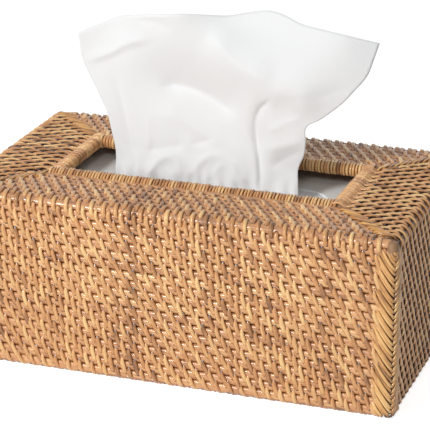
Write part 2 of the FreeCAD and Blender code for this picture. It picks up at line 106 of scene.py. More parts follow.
@dataclass(frozen=True)
class CoverSizes:
    """Sizes of the woven cover that its sub-assemblies share, in millimetres."""

    length: float = 254.0
    width: float = 152.0
    border: float = 49.0
    floor_gap: float = 0.5
    wall_plane: float = 2.3
    top_plane: float = 99.0
    edge_round: float = 4.0
    rim_depth: float = 45.5
    rim_height: float = 98.5
    wrap_radius: float = 3.15
    row_pitch: float = 5.16
    stake_pitch: float = 3.61
    corner_leg: float = 10.0

    def half_length(self, side: WallSide) -> float:
        """Returns half the length of a wall."""
        return (self.length if side.is_long else self.width) / 2

    def place(self, side: WallSide, along: np.ndarray, depth: np.ndarray, height: np.ndarray) -> np.ndarray:
        """Turns a wall's own coordinates into points of the part, in metres.

        Args:
            side: The wall.
            along: Place along the wall.
            depth: Depth inwards from the wall's outside.
            height: Height above the floor.

        Returns:
            One row a point.
        """
        half_x, half_y = self.length / 2, self.width / 2
        along, depth, height = np.broadcast_arrays(along, depth, height)
        x, y = {
            WallSide.FRONT: (along, depth - half_y),
            WallSide.BACK: (-along, half_y - depth),
            WallSide.LEFT: (depth - half_x, -along),
            WallSide.RIGHT: (half_x - depth, along),
        }[side]
        return np.stack([x, y, height], axis=-1) * MM

    def heading(self, side: WallSide, along: np.ndarray, depth: np.ndarray, height: np.ndarray) -> np.ndarray:
        """Turns a wall's own directions into directions of the part."""
        return (self.place(side, along, depth, height) - self.place(side, 0.0, 0.0, 0.0)) / MM

    def lay(self, side: WallSide, along: np.ndarray, spots: np.ndarray, outward: np.ndarray,
            swing: np.ndarray) -> tuple[np.ndarray, np.ndarray]:
        """Lays a strand over points of the border path.

        Args:
            side: The wall.
            along: Places along the wall.
            spots: Depths and heights of the path.
            outward: Outward directions of the path.
            swing: How far the strand stands out from the path.

        Returns:
            The strand's line, in metres, and the directions of its face.
        """
        depths = spots[:, 0] + outward[:, 0] * swing
        heights = spots[:, 1] + outward[:, 1] * swing
        line = self.place(side, along, depths, heights)
        return line, self.heading(side, 0.0, outward[:, 0], outward[:, 1])


class BorderPath:
    """The line that a stake follows: up the wall, over the top edge, along the border and round the rim."""

    step: float = 1.0
    climb_lead: float = 6.0
    wrap_turn: float = 115.0
    feel: float = 0.4

    def __init__(self, cover: CoverSizes) -> None:
        """Lays the line out in depths and heights.

        Args:
            cover: Sizes of the cover.
        """
        bend = cover.edge_round
        wall = [(cover.wall_plane, z) for z in np.arange(cover.floor_gap, cover.top_plane - bend, self.step)]
        centre = np.array([cover.wall_plane + bend, cover.top_plane - bend])
        arc = [centre + bend * np.array([-math.cos(t), math.sin(t)]) for t in np.linspace(0, math.pi / 2, 13)]
        climb_start = np.array([cover.rim_depth - self.climb_lead, cover.top_plane])
        top = [(d, cover.top_plane) for d in np.arange(centre[0] + self.step, climb_start[0], self.step)]
        hub = np.array([cover.rim_depth, cover.rim_height])
        turns = np.radians(np.linspace(self.wrap_turn, -self.wrap_turn, 40))
        wrap = [hub + cover.wrap_radius * np.array([math.cos(t), math.sin(t)]) for t in turns]
        rise = wrap[0] - climb_start
        climb = [climb_start + rise * (share, ease(share)) for share in np.linspace(0, 1, 9)[:-1]]
        self.points = np.array([tuple(p) for p in wall + arc + top + climb + wrap])
        self.runs = run_lengths(self.points)
        self.edge_run = self.runs[len(wall) + len(arc) // 2]
        self.climb_run = self.runs[len(wall) + len(arc) + len(top)]
        self.rim_run = self.runs[-len(wrap)]
        self.end_run = self.runs[-1]

    def at(self, runs: np.ndarray) -> tuple[np.ndarray, np.ndarray]:
        """Finds points on the line.

        Args:
            runs: Lengths along the line.

        Returns:
            The points and the outward directions there, as depths and heights.
        """
        spots, ahead, behind = (along_line(runs + gap, self.runs, self.points)
                                for gap in (0.0, self.feel, -self.feel))
        along = ahead - behind
        along /= np.linalg.norm(along, axis=1, keepdims=True)
        return spots, np.stack([-along[:, 1], along[:, 0]], axis=-1)

    def run_at_depth(self, depth: float) -> float:
        """Returns the length along the line at which it reaches a depth on the border."""
        flat = (self.runs > self.edge_run) & (self.runs < self.rim_run)
        return float(np.interp(depth, self.points[flat, 0], self.runs[flat]))


class StrandMesh:
    """Strands swept along their lines and joined in one mesh.

    Each point carries its place along the strand, its place round it and the strand's tone less any painted
    shade.
    """

    grain_stride: float = 7919.0

    def __init__(self, sides: int) -> None:
        """Starts an empty mesh whose strands have so many sides."""
        self.sides = sides
        self.bm = bmesh.new()
        self.layer = self.bm.verts.layers.float_vector.new("strand")

    def sweep(self, line: np.ndarray, outward: np.ndarray, wide: np.ndarray, thick: np.ndarray,
              tone: float, shade: np.ndarray | float = 0.0) -> None:
        """Rolls a grid into one closed strand along a line.

        Args:
            line: Points of the strand's centre, in metres.
            outward: Direction of the strand's face at each point.
            wide: Width at each point, in metres.
            thick: Thickness at each point, in metres.
            tone: Tone of the strand, from 0 dark to 1 light.
            shade: How much darker it is at each point: painted shade where the strand lies deep in the weave
                or dives under others.
        """
        steps = len(line) - 1
        made = bmesh.ops.create_grid(self.bm, x_segments=steps, y_segments=self.sides, size=0.5)["verts"]
        flat = np.array([vert.co[:2] for vert in made])
        step = np.rint((flat[:, 0] + 0.5) * steps).astype(int)
        turn = np.rint((flat[:, 1] + 0.5) * self.sides).astype(int)
        tangent = np.gradient(line, axis=0)
        across = np.cross(tangent, outward)
        across /= np.linalg.norm(across, axis=1, keepdims=True)
        face = np.cross(across, tangent)
        face /= np.linalg.norm(face, axis=1, keepdims=True)
        angle = 2 * math.pi * (turn % self.sides) / self.sides - math.pi / 2
        half_wide = np.broadcast_to(np.asarray(wide) / 2, len(line))
        half_thick = np.broadcast_to(np.asarray(thick) / 2, len(line))
        spots = line[step] + across[step] * (np.cos(angle) * half_wide[step])[:, None]
        spots += face[step] * (np.sin(angle) * half_thick[step])[:, None]
        places = run_lengths(line)[step] / MM + tone * self.grain_stride
        # Painted shade: the tone is lowered by the shade given for each point.
        tones = tone - np.broadcast_to(shade, len(line))[step]
        for vert, spot, place, share, shaded_tone in zip(made, spots, places, turn / self.sides, tones):
            vert.co = spot
            vert[self.layer] = (place, share, shaded_tone)
        bmesh.ops.remove_doubles(self.bm, verts=made, dist=1e-7)

    def finish(self, name: str) -> bpy.types.Object:
        """Closes the strands' ends and makes the mesh an object.

        Args:
            name: Name of the piece.

        Returns:
            The new object.
        """
        edges = [edge for edge in self.bm.edges if edge.is_boundary]
        bmesh.ops.holes_fill(self.bm, edges=edges, sides=self.sides)
        bmesh.ops.recalc_face_normals(self.bm, faces=self.bm.faces)
        return new_object(name, self.bm)


def new_object(name: str, bm: bmesh.types.BMesh, smooth: bool = True) -> bpy.types.Object:
    """Makes an object of a bmesh and frees it.

    Args:
        name: Name of the piece.
        bm: The finished mesh.
        smooth: Whether its faces are shaded smooth.

    Returns:
        The new object, at the origin.
    """
    mesh = bpy.data.meshes.new(name)
    for each in bm.faces:
        each.smooth = smooth
    bm.to_mesh(mesh)
    bm.free()
    item = bpy.data.objects.new(name, mesh)
    bpy.context.scene.collection.objects.link(item)
    return item


class NodeTools:
    """Short ways to add and join shader nodes in one tree."""

    def __init__(self, tree: bpy.types.NodeTree) -> None:
        """Keeps the tree that the nodes go in."""
        self.tree = tree

    def add(self, kind: str, **inputs: object) -> bpy.types.Node:
        """Adds a node and sets or joins its inputs.

        Args:
            kind: The node's type without the ShaderNode prefix.
            inputs: Properties of the node by name, or inputs with spaces written as underscores.

        Returns:
            The new node.
        """
        node = self.tree.nodes.new("ShaderNode" + kind)
        for name, value in inputs.items():
            if hasattr(node, name):
                setattr(node, name, value)
            else:
                self.put(node, **{name: value})
        return node

    def feed(self, socket: bpy.types.NodeSocket, value: object) -> None:
        """Joins an output to a socket, or sets its value."""
        if isinstance(value, bpy.types.NodeSocket):
            self.tree.links.new(value, socket)
        else:
            socket.default_value = value

    def put(self, node: bpy.types.Node, **inputs: object) -> None:
        """Sets or joins inputs of a node, with the spaces of their names written as underscores."""
        for name, value in inputs.items():
            self.feed(node.inputs[name.replace("_", " ")], value)

    def maths(self, operation: str, first: object, second: object = 0.0,
              clamp: bool = False) -> bpy.types.NodeSocket:
        """Adds a sum of two values and returns its output."""
        node = self.tree.nodes.new("ShaderNodeMath")
        node.operation = operation
        node.use_clamp = clamp
        self.feed(node.inputs[0], first)
        self.feed(node.inputs[1], second)
        return node.outputs[0]

    def mix(self, share: object, first: object, second: object) -> bpy.types.NodeSocket:
        """Adds a mix of two colours and returns its output."""
        node = self.tree.nodes.new("ShaderNodeMix")
        node.data_type = "RGBA"
        self.feed(node.inputs[0], share)
        self.feed(node.inputs[6], first)
        self.feed(node.inputs[7], second)
        return node.outputs[2]

    def noise(self, vector: object, scale: float, detail: float = 2.0,
              rough: float = 0.5) -> bpy.types.NodeSocket:
        """Adds a noise texture and returns its value."""
        node = self.add("TexNoise", Vector=vector, Scale=scale, Detail=detail, Roughness=rough)
        return node.outputs[0]

    def wave(self, noise: object, share: float) -> bpy.types.NodeSocket:
        """Turns a noise into a share of it above and below 0."""
        return self.maths("MULTIPLY", self.maths("SUBTRACT", noise, 0.5), share)

    def seen(self) -> bpy.types.NodeSocket:
        """Returns 1 for the rays that show the background: camera, glossy and transmission ones."""
        rays = self.add("LightPath").outputs
        seen = self.maths("MAXIMUM", rays["Is Camera Ray"], rays["Is Glossy Ray"])
        return self.maths("MAXIMUM", seen, rays["Is Transmission Ray"])


def new_group(name: str, inputs: dict[str, str], outputs: dict[str, str]) -> bpy.types.NodeTree:
    """Makes an empty shader group with named sockets.

    Args:
        name: Name of the group.
        inputs: Socket kinds by name.
        outputs: Socket kinds by name.

    Returns:
        The group's tree.
    """
    tree = bpy.data.node_groups.new(name, "ShaderNodeTree")
    for direction, sockets in (("INPUT", inputs), ("OUTPUT", outputs)):
        for label, kind in sockets.items():
            tree.interface.new_socket(name=label, in_out=direction, socket_type="NodeSocket" + kind)
    return tree


@dataclass(frozen=True)
class RattanGrain:
    """Streaks and blotches of rattan, as one group that strand and rod finishes share.

    Streaks and blotches are set by how often they change along and round a strand.
    """

    streak_along: float = 0.11
    streak_round: float = 16.0
    streak_share: float = 0.9
    blotch_along: float = 0.09
    blotch_round: float = 1.5
    blotch_share: float = 1.0
    blotch_dull: float = 0.25

    def make(self) -> bpy.types.NodeTree:
        """Builds the group.

        Returns:
            A group that gives a colour, a roughness and a height.
        """
        takes = {"Dark": "Color", "Middle": "Color", "Light": "Color", "Along": "Float",
                 "Round": "Float", "Tone": "Float", "Gloss": "Float"}
        gives = {"Color": "Color", "Roughness": "Float", "Height": "Float"}
        tree = new_group("rattan_grain", takes, gives)
        tools = NodeTools(tree)
        given = tree.nodes.new("NodeGroupInput").outputs
        out = tree.nodes.new("NodeGroupOutput").inputs
        fine, broad = (tools.add("CombineXYZ", X=tools.maths("MULTIPLY", given["Along"], along),
                                 Y=tools.maths("MULTIPLY", given["Round"], turn)).outputs[0]
                       for along, turn in ((self.streak_along, self.streak_round),
                                           (self.blotch_along, self.blotch_round)))
        streak = tools.noise(fine, 1.0, 3.0, 0.6)
        blotch = tools.noise(broad, 1.0, 2.0)
        share = tools.maths("ADD", given["Tone"], tools.wave(blotch, self.blotch_share))
        share = tools.maths("ADD", share, tools.wave(streak, self.streak_share))
        low = tools.maths("MULTIPLY", share, 2.0, clamp=True)
        high = tools.maths("SUBTRACT", tools.maths("MULTIPLY", share, 2.0), 1.0, clamp=True)
        shade = tools.mix(low, given["Dark"], given["Middle"])
        tools.feed(out["Color"], tools.mix(high, shade, given["Light"]))
        dull = tools.maths("MULTIPLY", blotch, self.blotch_dull)
        tools.feed(out["Roughness"], tools.maths("ADD", given["Gloss"], dull))
        tools.feed(out["Height"], streak)
        return tree


def new_material(name: str) -> tuple[bpy.types.Material, NodeTools, bpy.types.Node]:
    """Makes a material with one principled shader.

    Args:
        name: Name of the material.

    Returns:
        The material, tools for its tree and its shader.
    """
    material = bpy.data.materials.new(name)
    material.use_nodes = True
    shader = material.node_tree.nodes["Principled BSDF"]
    return material, NodeTools(material.node_tree), shader


def lay_grain(tools: NodeTools, shader: bpy.types.Node, group: bpy.types.Node, colours: Sequence[Colour],
              places: Sequence[bpy.types.NodeSocket]) -> None:
    """Gives the grain its colours and places, and joins it to a shader.

    Args:
        tools: Tools for the material's tree.
        shader: Shader that takes the grain's colour and roughness.
        group: The grain group in that tree.
        colours: The dark, middle and light colours.
        places: Sockets with the place along the strand, the place round it and the tone.
    """
    for label, colour in zip(("Dark", "Middle", "Light"), colours):
        group.inputs[label].default_value = (*colour, 1.0)
    for label, place in zip(("Along", "Round", "Tone"), places):
        tools.feed(group.inputs[label], place)
    tools.put(shader, Base_Color=group.outputs["Color"], Roughness=group.outputs["Roughness"])


def lay_bump(tools: NodeTools, shader: bpy.types.Node, height: bpy.types.NodeSocket, strength: float,
             relief: float) -> None:
    """Joins a height to a shader's normal, with its relief in millimetres."""
    bump = tools.add("Bump", Strength=strength, Distance=relief * MM, Height=height)
    tools.put(shader, Normal=bump.outputs[0])


@dataclass(frozen=True)
class StrandFinish:
    """Finish of woven strands, from the strand attribute of their mesh."""

    name: str
    dark: Colour
    middle: Colour
    light: Colour
    gloss: float = 0.30
    coat: float = 0.6
    coat_roughness: float = 0.13
    specular: float = 0.35
    bump: float = 0.25
    relief: float = 0.15

    def make(self, grain: bpy.types.NodeTree) -> bpy.types.Material:
        """Builds the material.

        Args:
            grain: The shared grain group.

        Returns:
            The new material.
        """
        material, tools, shader = new_material(self.name)
        # The strand attribute's third value is the tone with painted shade already taken off.
        spot = tools.add("Attribute", attribute_name="strand").outputs["Vector"]
        places = tools.add("SeparateXYZ", Vector=spot).outputs
        group = tools.add("Group", node_tree=grain)
        group.inputs["Gloss"].default_value = self.gloss
        lay_grain(tools, shader, group, (self.dark, self.middle, self.light), places)
        tools.put(shader, Specular_IOR_Level=self.specular, Coat_Weight=self.coat,
                  Coat_Roughness=self.coat_roughness)
        lay_bump(tools, shader, group.outputs["Height"], self.bump, self.relief)
        return material


@dataclass(frozen=True)
class RodFinish:
    """Finish of the plain rods of the frame, with grain along one axis of the part."""

    name: str
    stretch: Spot
    dark: Colour = (0.20, 0.10, 0.05)
    light: Colour = (0.42, 0.24, 0.11)
    gloss: float = 0.42
    tone_scale: float = 0.05
    bump: float = 0.3
    relief: float = 0.1

    def make(self, grain: bpy.types.NodeTree) -> bpy.types.Material:
        """Builds the material.

        Args:
            grain: The shared grain group.

        Returns:
            The new material.
        """
        material, tools, shader = new_material(self.name)
        spot = tools.add("TexCoord").outputs["Object"]
        scaled = tools.add("Mapping", Vector=spot, Scale=self.stretch).outputs[0]
        places = tools.add("SeparateXYZ", Vector=scaled).outputs
        group = tools.add("Group", node_tree=grain)
        group.inputs["Gloss"].default_value = self.gloss
        middle = tuple((a + b) / 2 for a, b in zip(self.dark, self.light))
        tone = tools.noise(scaled, self.tone_scale)
        lay_grain(tools, shader, group, (self.dark, middle, self.light), (places[0], places[1], tone))
        lay_bump(tools, shader, group.outputs["Height"], self.bump, self.relief)
        return material


@dataclass(frozen=True)
class PaperFinish:
    """Finish of the board, film and tissue: pale, matt, with fibres."""

    name: str
    light: Colour
    dark: Colour
    roughness: float
    fibre_scale: float
    bump: float
    sheen: float = 0.0
    cloud_share: float = 0.06
    relief: float = 0.05

    def make(self) -> bpy.types.Material:
        """Builds the material and returns it."""
        material, tools, shader = new_material(self.name)
        spot = tools.add("TexCoord").outputs["Object"]
        fibre = tools.noise(spot, self.fibre_scale, 4.0, 0.7)
        cloud = tools.noise(spot, self.fibre_scale * self.cloud_share, 2.0)
        share = tools.maths("MULTIPLY", tools.maths("ADD", fibre, cloud), 0.5)
        colour = tools.mix(share, (*self.dark, 1.0), (*self.light, 1.0))
        tools.put(shader, Base_Color=colour, Roughness=self.roughness, Sheen_Weight=self.sheen)
        lay_bump(tools, shader, fibre, self.bump, self.relief)
        return material


@dataclass(frozen=True)
class SteelFinish:
    """Finish of the brads: plain drawn wire."""

    name: str = "brad_wire"
    colour: Colour = (0.55, 0.54, 0.52)
    stain_scale: float = 900.0
    stain_shade: float = 0.6
    roughness: float = 0.25
    stain_roughness: float = 0.3

    def make(self) -> bpy.types.Material:
        """Builds the material and returns it."""
        material, tools, shader = new_material(self.name)
        spot = tools.add("TexCoord").outputs["Object"]
        stain = tools.noise(spot, self.stain_scale, 3.0)
        dull = tuple(part * self.stain_shade for part in self.colour)
        colour = tools.mix(stain, (*dull, 1.0), (*self.colour, 1.0))
        rough = tools.maths("ADD", tools.maths("MULTIPLY", stain, self.stain_roughness), self.roughness)
        tools.put(shader, Base_Color=colour, Roughness=rough, Metallic=1.0)
        return material


class Finishes:
    """All materials of the part, made once."""

    def __init__(self) -> None:
        """Builds the shared grain and every material."""
        grain = RattanGrain().make()
        # The dark colours are also reached where painted shade lowers the tone, in crevices and at tucked
        # ends.
        self.stake = StrandFinish("stake_honey", (0.085, 0.031, 0.014), (0.72, 0.342, 0.128),
                                  (1.0, 0.66, 0.295)).make(grain)
        self.weaver = StrandFinish("weaver_brown", (0.12, 0.045, 0.024), (0.66, 0.322, 0.140),
                                   (0.90, 0.55, 0.25)).make(grain)
        self.braid = StrandFinish("braid_honey", (0.10, 0.036, 0.015), (0.74, 0.372, 0.122),
                                  (0.97, 0.63, 0.26)).make(grain)
        self.peel = StrandFinish("peel_gold", (0.16, 0.060, 0.022), (0.66, 0.31, 0.085),
                                 (0.90, 0.53, 0.15), gloss=0.22, coat=0.5).make(grain)
        self.rod_x = RodFinish("rod_along_x", (400.0, 90.0, 90.0)).make(grain)
        self.rod_y = RodFinish("rod_along_y", (90.0, 400.0, 90.0)).make(grain)
        self.rod_z = RodFinish("rod_upright", (90.0, 90.0, 400.0)).make(grain)
        self.board = PaperFinish("white_board", (0.90, 0.90, 0.89), (0.82, 0.82, 0.81), roughness=0.6,
                                 fibre_scale=900.0, bump=0.1).make()
        self.film = PaperFinish("pale_film", (0.90, 0.91, 0.92), (0.84, 0.85, 0.86), roughness=0.45,
                                fibre_scale=300.0, bump=0.05).make()
        self.tissue = PaperFinish("tissue_paper", (0.915, 0.925, 0.93), (0.88, 0.89, 0.895), roughness=0.95,
                                  fibre_scale=700.0, bump=0.12, sheen=0.1).make()
        self.steel = SteelFinish().make()


def dress(item: bpy.types.Object, material: bpy.types.Material) -> None:
    """Gives an object one material."""
    item.data.materials.clear()
    item.data.materials.append(material)


def attach(item: bpy.types.Object, material: bpy.types.Material, body: str, slot: str, *nodes: str) -> None:
    """Dresses a piece, puts it on a body, and hides the nodes that it stands for.

    Args:
        item: The piece.
        material: Its material.
        body: Name of its body.
        slot: Material slot of the record; not used.
        nodes: Nodes that it replaces.
    """
    dress(item, material)
    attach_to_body(item, body)
    if nodes:
        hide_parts(*nodes)
    LOG.info("%s: %d faces on %s", item.name, len(item.data.polygons), body)


@dataclass
class WovenWall:
    """The stakes and weavers of one wall and of the border above it.

    A stake is a pair of strands that twist round the weavers, and each strand floats over two rows.
    """

    cover: CoverSizes
    path: BorderPath
    side: WallSide
    seed: int
    stake_wide: float = 2.4
    stake_thick: float = 1.25
    stake_swing: float = 1.55
    stake_slant: float = 1.4
    slant_wander: float = 0.3
    shoulder: float = 1.6
    crevice_shade: float = 2.3
    rim_spread: float = 0.9
    rim_slim: float = 0.36
    foot_tuck: float = 2.4
    tuck_depth: float = 0.5
    mitre_dip: float = 1.6
    mitre_dip_run: float = 5.0
    edge_calm: float = 0.8
    edge_calm_run: float = 6.0
    ripple: float = 0.12
    scatter: float = 0.08
    rim_lead: float = 2.0
    rim_fade_run: float = 5.0
    float_wide: float = 0.08
    crevice_from: float = 0.72
    crevice_slope: float = 0.85
    weaver_wide: float = 4.9
    weaver_thick: float = 2.6
    weaver_sink: float = 0.4
    weaver_swing: float = 0.12
    short_side_sink: float = 2.0
    short_side_slim: float = 0.82
    short_side_shade: float = 0.40
    foot_run: float = 1.3
    foot_share: float = 0.5
    sheaf_gap: float = 4.5
    plain_gap: float = 0.4
    rim_gap: float = 4.0
    mitre_end: float = 1.5
    corner_end: float = 6.5
    steps_a_row: int = 4
    steps_a_stake: int = 2

    def __post_init__(self) -> None:
        """Lays out the stakes and the rows, and seeds the scatter."""
        self.rng = np.random.default_rng(self.seed)
        self.half = self.cover.half_length(self.side)
        last = self.half - self.cover.corner_leg - self.stake_wide / 2
        count = int(round(2 * last / self.cover.stake_pitch))
        self.places = np.linspace(-last, last, count + 1)
        self.pitch = self.places[1] - self.places[0]
        below = int(self.path.edge_run / self.cover.row_pitch)
        self.row_pitch = self.path.edge_run / (below + 0.5)
        self.first_row = self.row_pitch / 2
        self.rows = np.arange(self.first_row, self.path.climb_run + 1.0, self.row_pitch)

    def phase(self, runs: np.ndarray) -> np.ndarray:
        """Returns the phase of the twist at lengths along the path, half a turn in two rows."""
        return math.pi * (runs - self.first_row) / (2 * self.row_pitch)

    def mitre_depth(self, along: float) -> float:
        """Returns the depth at which a stake goes under the mitre's strips."""
        return self.half - abs(along) - (self.sheaf_gap if along > 0 else self.plain_gap)

    def stake(self, mesh: StrandMesh, number: int, twin: int) -> None:
        """Adds one strand of a stake.

        Args:
            mesh: Mesh that takes the strand.
            number: The stake's number along the wall.
            twin: Which strand of the pair, 0 or 1.
        """
        along = self.places[number] + self.rng.normal(0, self.scatter)
        depth = self.mitre_depth(self.places[number])
        mitred = depth < self.cover.rim_depth - self.rim_gap
        end = self.path.run_at_depth(depth) if mitred else self.path.end_run
        runs = np.linspace(0, end, int(end / self.row_pitch * self.steps_a_row) + 1)
        spots, outward = self.path.at(runs)
        beat = self.phase(runs) + math.pi / 2 * (number % 2) + math.pi * twin
        beat = beat + self.rng.normal(0, self.scatter)
        woven = np.clip((self.path.climb_run + self.rim_lead - runs) / self.rim_fade_run, 0, 1)
        bow = np.tanh(self.shoulder * np.cos(beat)) / math.tanh(self.shoulder)
        swing = self.stake_swing * self.rng.normal(1, 0.04) * woven * bow
        swing += (1 - woven) * self.rng.uniform(-0.1, 0.35)
        tuck = np.clip(1 - runs / self.foot_tuck, 0, 1)
        swing = swing * (1 - tuck) - self.tuck_depth * tuck
        if mitred:
            swing -= self.mitre_dip * np.clip((runs - end) / self.mitre_dip_run + 1, 0, 1) ** 2
        calm = 1 - self.edge_calm * np.exp(-((runs - self.path.edge_run) / self.edge_calm_run) ** 2)
        slant = self.stake_slant * self.rng.normal(1, self.scatter) * calm * woven * np.sin(beat)
        slant *= 1 + self.slant_wander * np.sin(along / 19.0 + runs / 23.0)
        slant += (1 - woven) * self.rim_spread * (1 - 2 * twin)
        slant += self.ripple * np.sin(runs / 11.0 + self.rng.uniform(0, 6))
        line, face = self.cover.lay(self.side, along - slant, spots, outward, swing)
        wide = self.stake_wide * self.rng.normal(1, 0.05)
        wide = wide * (1 + self.float_wide * np.cos(beat) - self.rim_slim * (1 - woven))
        wide = wide if self.side.is_long else wide * self.short_side_slim
        tone = pick_tone(self.rng, 0.6, 0.18, 0.3, 0.98)
        # Painted shade: the strand darkens where it lies back behind the weavers, as the weave's crevices
        # fall into shade.
        low = np.clip(self.crevice_from - self.crevice_slope * bow, 0, 1) * woven
        mesh.sweep(line, face, wide * MM, self.stake_thick * MM, tone, self.crevice_shade * low * low)

    def weaver(self, mesh: StrandMesh, number: int) -> None:
        """Adds one weaver.

        Args:
            mesh: Mesh that takes the strand.
            number: Its row, counted from the floor, or -1 for the strand along the foot.
        """
        foot = number < 0
        run = self.foot_run if foot else self.rows[number]
        spot, outward = self.path.at(np.array([run]))
        on_top = run > self.path.edge_run - 1.0
        end = self.half - (spot[0, 0] + self.mitre_end if on_top else self.corner_end)
        along = np.linspace(-end, end, int(2 * end / self.pitch * self.steps_a_stake) + 1)
        sign = 1 if number % 2 else -1
        swing = sign * self.weaver_swing * np.cos(math.pi * (along - self.places[0]) / self.pitch)
        sink = self.weaver_sink if self.side.is_long or foot else self.short_side_sink
        swing += self.ripple * np.sin(along / 17.0 + self.rng.uniform(0, 6)) - sink
        line, face = self.cover.lay(self.side, along, spot, outward, swing)
        tone = pick_tone(self.rng, 0.52, 0.16, 0.1, 0.9)
        # Painted shade: weavers of the short walls are darkened so that the gaps between the stakes read as
        # deep shade.
        tone -= 0.0 if self.side.is_long else self.short_side_shade
        wide = self.weaver_wide * self.rng.normal(1, 0.03) * (self.foot_share if foot else 1.0)
        mesh.sweep(line, face, wide * MM, self.weaver_thick * MM, tone)

    def build(self, finishes: Finishes) -> None:
        """Builds both pieces and puts them on the cover.

        Args:
            finishes: The materials.
        """
        name = self.side.value
        stakes = StrandMesh(6)
        for number in range(len(self.places)):
            self.stake(stakes, number, 0)
            self.stake(stakes, number, 1)
        item = stakes.finish(name + "_stake_strands")
        attach(item, finishes.stake, "cover", "stake_rattan", name + "_stakes")
        weavers = StrandMesh(10)
        for number in range(-1, len(self.rows)):
            self.weaver(weavers, number)
        item = weavers.finish(name + "_weaver_strands")
        attach(item, finishes.weaver, "cover", "weaver_rattan", name + "_weavers", "top_%s_weavers" % name)


@dataclass
class RimWrap:
    """Fine strands wound round one rod of the opening, between the ends of the stakes."""

    cover: CoverSizes
    path: BorderPath
    side: WallSide
    seed: int
    wide: float = 1.9
    thick: float = 1.1
    pitch: float = 1.8
    drop: float = 1.25
    start_drop: float = 0.9
    start_run: float = 3.0
    lean: float = 0.5
    end_gap: float = 0.5
    steps: int = 22

    def build(self, finishes: Finishes) -> None:
        """Builds the wrap and puts it on the cover."""
        rng = np.random.default_rng(self.seed)
        half = self.cover.half_length(self.side) - self.cover.border - self.end_gap
        mesh = StrandMesh(6)
        start = self.path.climb_run + 1.0
        runs = np.linspace(start, self.path.end_run, self.steps)
        spots, outward = self.path.at(runs)
        sink = -self.drop - self.start_drop * np.clip((start - runs) / self.start_run + 1, 0, 1)
        for along in np.arange(-half, half, self.pitch):
            lean = self.lean * (runs - start) / (self.path.end_run - start) + rng.normal(0, 0.12)
            line, face = self.cover.lay(self.side, along + lean, spots, outward, sink)
            # Painted shade: the wound strands take a dark tone so that the ribs read as shaded gaps.
            tone = pick_tone(rng, -0.15, 0.1, -0.4, 0.95)
            mesh.sweep(line, face, self.wide * rng.normal(1, 0.06) * MM, self.thick * MM, tone)
        item = mesh.finish("rim_wrap_" + self.side.value)
        attach(item, finishes.peel, "cover", "peel_rattan", "opening_binding_" + self.side.value)


@dataclass
class CornerBraid:
    """Herringbone of strands round one upright edge."""

    cover: CoverSizes
    corner: Corner
    seed: int
    reach: float = 11.0
    overlap: float = 1.4
    shortest: float = 2.0
    slope: float = 1.4
    pitch: float = 6.0
    wide: float = 1.75
    thick: float = 1.25
    bend: float = 3.2
    surface_inset: float = 0.9
    crown: float = 0.6
    start_dip: float = 0.7
    end_dip: float = 1.3
    start_shade: float = 0.8
    end_shade: float = 0.5
    shade_share: float = 0.15
    lowest: float = 0.9
    highest: float = 95.0
    strips: int = 2
    strip_step: float = 2.35
    steps: int = 13

    def point(self, across: np.ndarray, height: np.ndarray,
              lift: np.ndarray) -> tuple[np.ndarray, np.ndarray]:
        """Finds points on the rounded edge.

        Args:
            across: Length round the edge, below 0 on the front or back, above 0 on the end wall.
            height: Height above the floor.
            lift: Height of the strand over the edge's surface.

        Returns:
            Points of the part, in metres, and the outward directions there.
        """
        sign_x, sign_y = self.corner.value
        turn = np.clip(across / self.bend, -math.pi / 4, math.pi / 4)
        rest = across - turn * self.bend
        face_x, face_y = np.sin(turn + math.pi / 4), np.cos(turn + math.pi / 4)
        radius = self.bend + lift
        inset = self.bend + self.surface_inset
        out_x = face_x * radius - np.clip(-rest, 0, None)
        out_y = face_y * radius - np.clip(rest, 0, None)
        x = sign_x * (self.cover.length / 2 - inset + out_x)
        y = sign_y * (self.cover.width / 2 - inset + out_y)
        normal = np.stack([sign_x * face_x, sign_y * face_y, np.zeros(len(across))], axis=-1)
        return np.stack([x, y, height], axis=-1) * MM, normal

    def leg(self, mesh: StrandMesh, rng: np.random.Generator, sign: int, foot: float, base: float) -> None:
        """Adds one strip of a slanting leg of the herringbone.

        Args:
            mesh: Mesh that takes the strand.
            rng: The corner's scatter.
            sign: -1 for the leg on the front or back, 1 for the one on the end wall.
            foot: Height of the strip's lower end at the edge.
            base: Tone of the leg.
        """
        near = max(-self.overlap, (self.lowest - foot) / self.slope)
        far = min(self.reach + rng.normal(0, 0.25), (self.highest - foot) / self.slope)
        if far - near < self.shortest:
            return
        out = np.linspace(near, far, self.steps)
        height = foot + self.slope * np.abs(out) + rng.normal(0, 0.08)
        share = (out - near) / (far - near)
        lift = self.crown * np.sin(math.pi * np.clip(share * 1.1, 0, 1))
        lift = lift - self.end_dip * share ** 4 - self.start_dip * (1 - share) ** 3
        # Painted shade: the strip darkens towards both ends, where it dives under its neighbours.
        shade = self.start_shade * np.clip(1 - share / self.shade_share, 0, 1)
        shade = shade + self.end_shade * np.clip(1 - (1 - share) / self.shade_share, 0, 1)
        line, face = self.point(sign * out, height, lift)
        wide = self.wide * rng.normal(1, 0.05) * (0.8 + 0.25 * np.sin(math.pi * share))
        tone = float(np.clip(base + rng.normal(0, 0.1), 0.1, 0.95))
        mesh.sweep(line, face, wide * MM, self.thick * MM, tone, shade)

    def build(self, finishes: Finishes) -> None:
        """Builds the braid and puts it on the cover."""
        rng = np.random.default_rng(self.seed)
        mesh = StrandMesh(8)
        first = self.lowest - self.slope * self.reach
        for foot in np.arange(first, self.highest - 3.0, self.pitch):
            for sign, height in ((-1, foot), (1, foot + self.pitch / 2)):
                base = rng.normal(0.6, 0.12)
                for strip in range(self.strips):
                    self.leg(mesh, rng, sign, height + strip * self.strip_step, base)
        item = mesh.finish("corner_braid_" + self.corner.label)
        attach(item, finishes.braid, "cover", "lashing_rattan", "corner_lashing_" + self.corner.label)


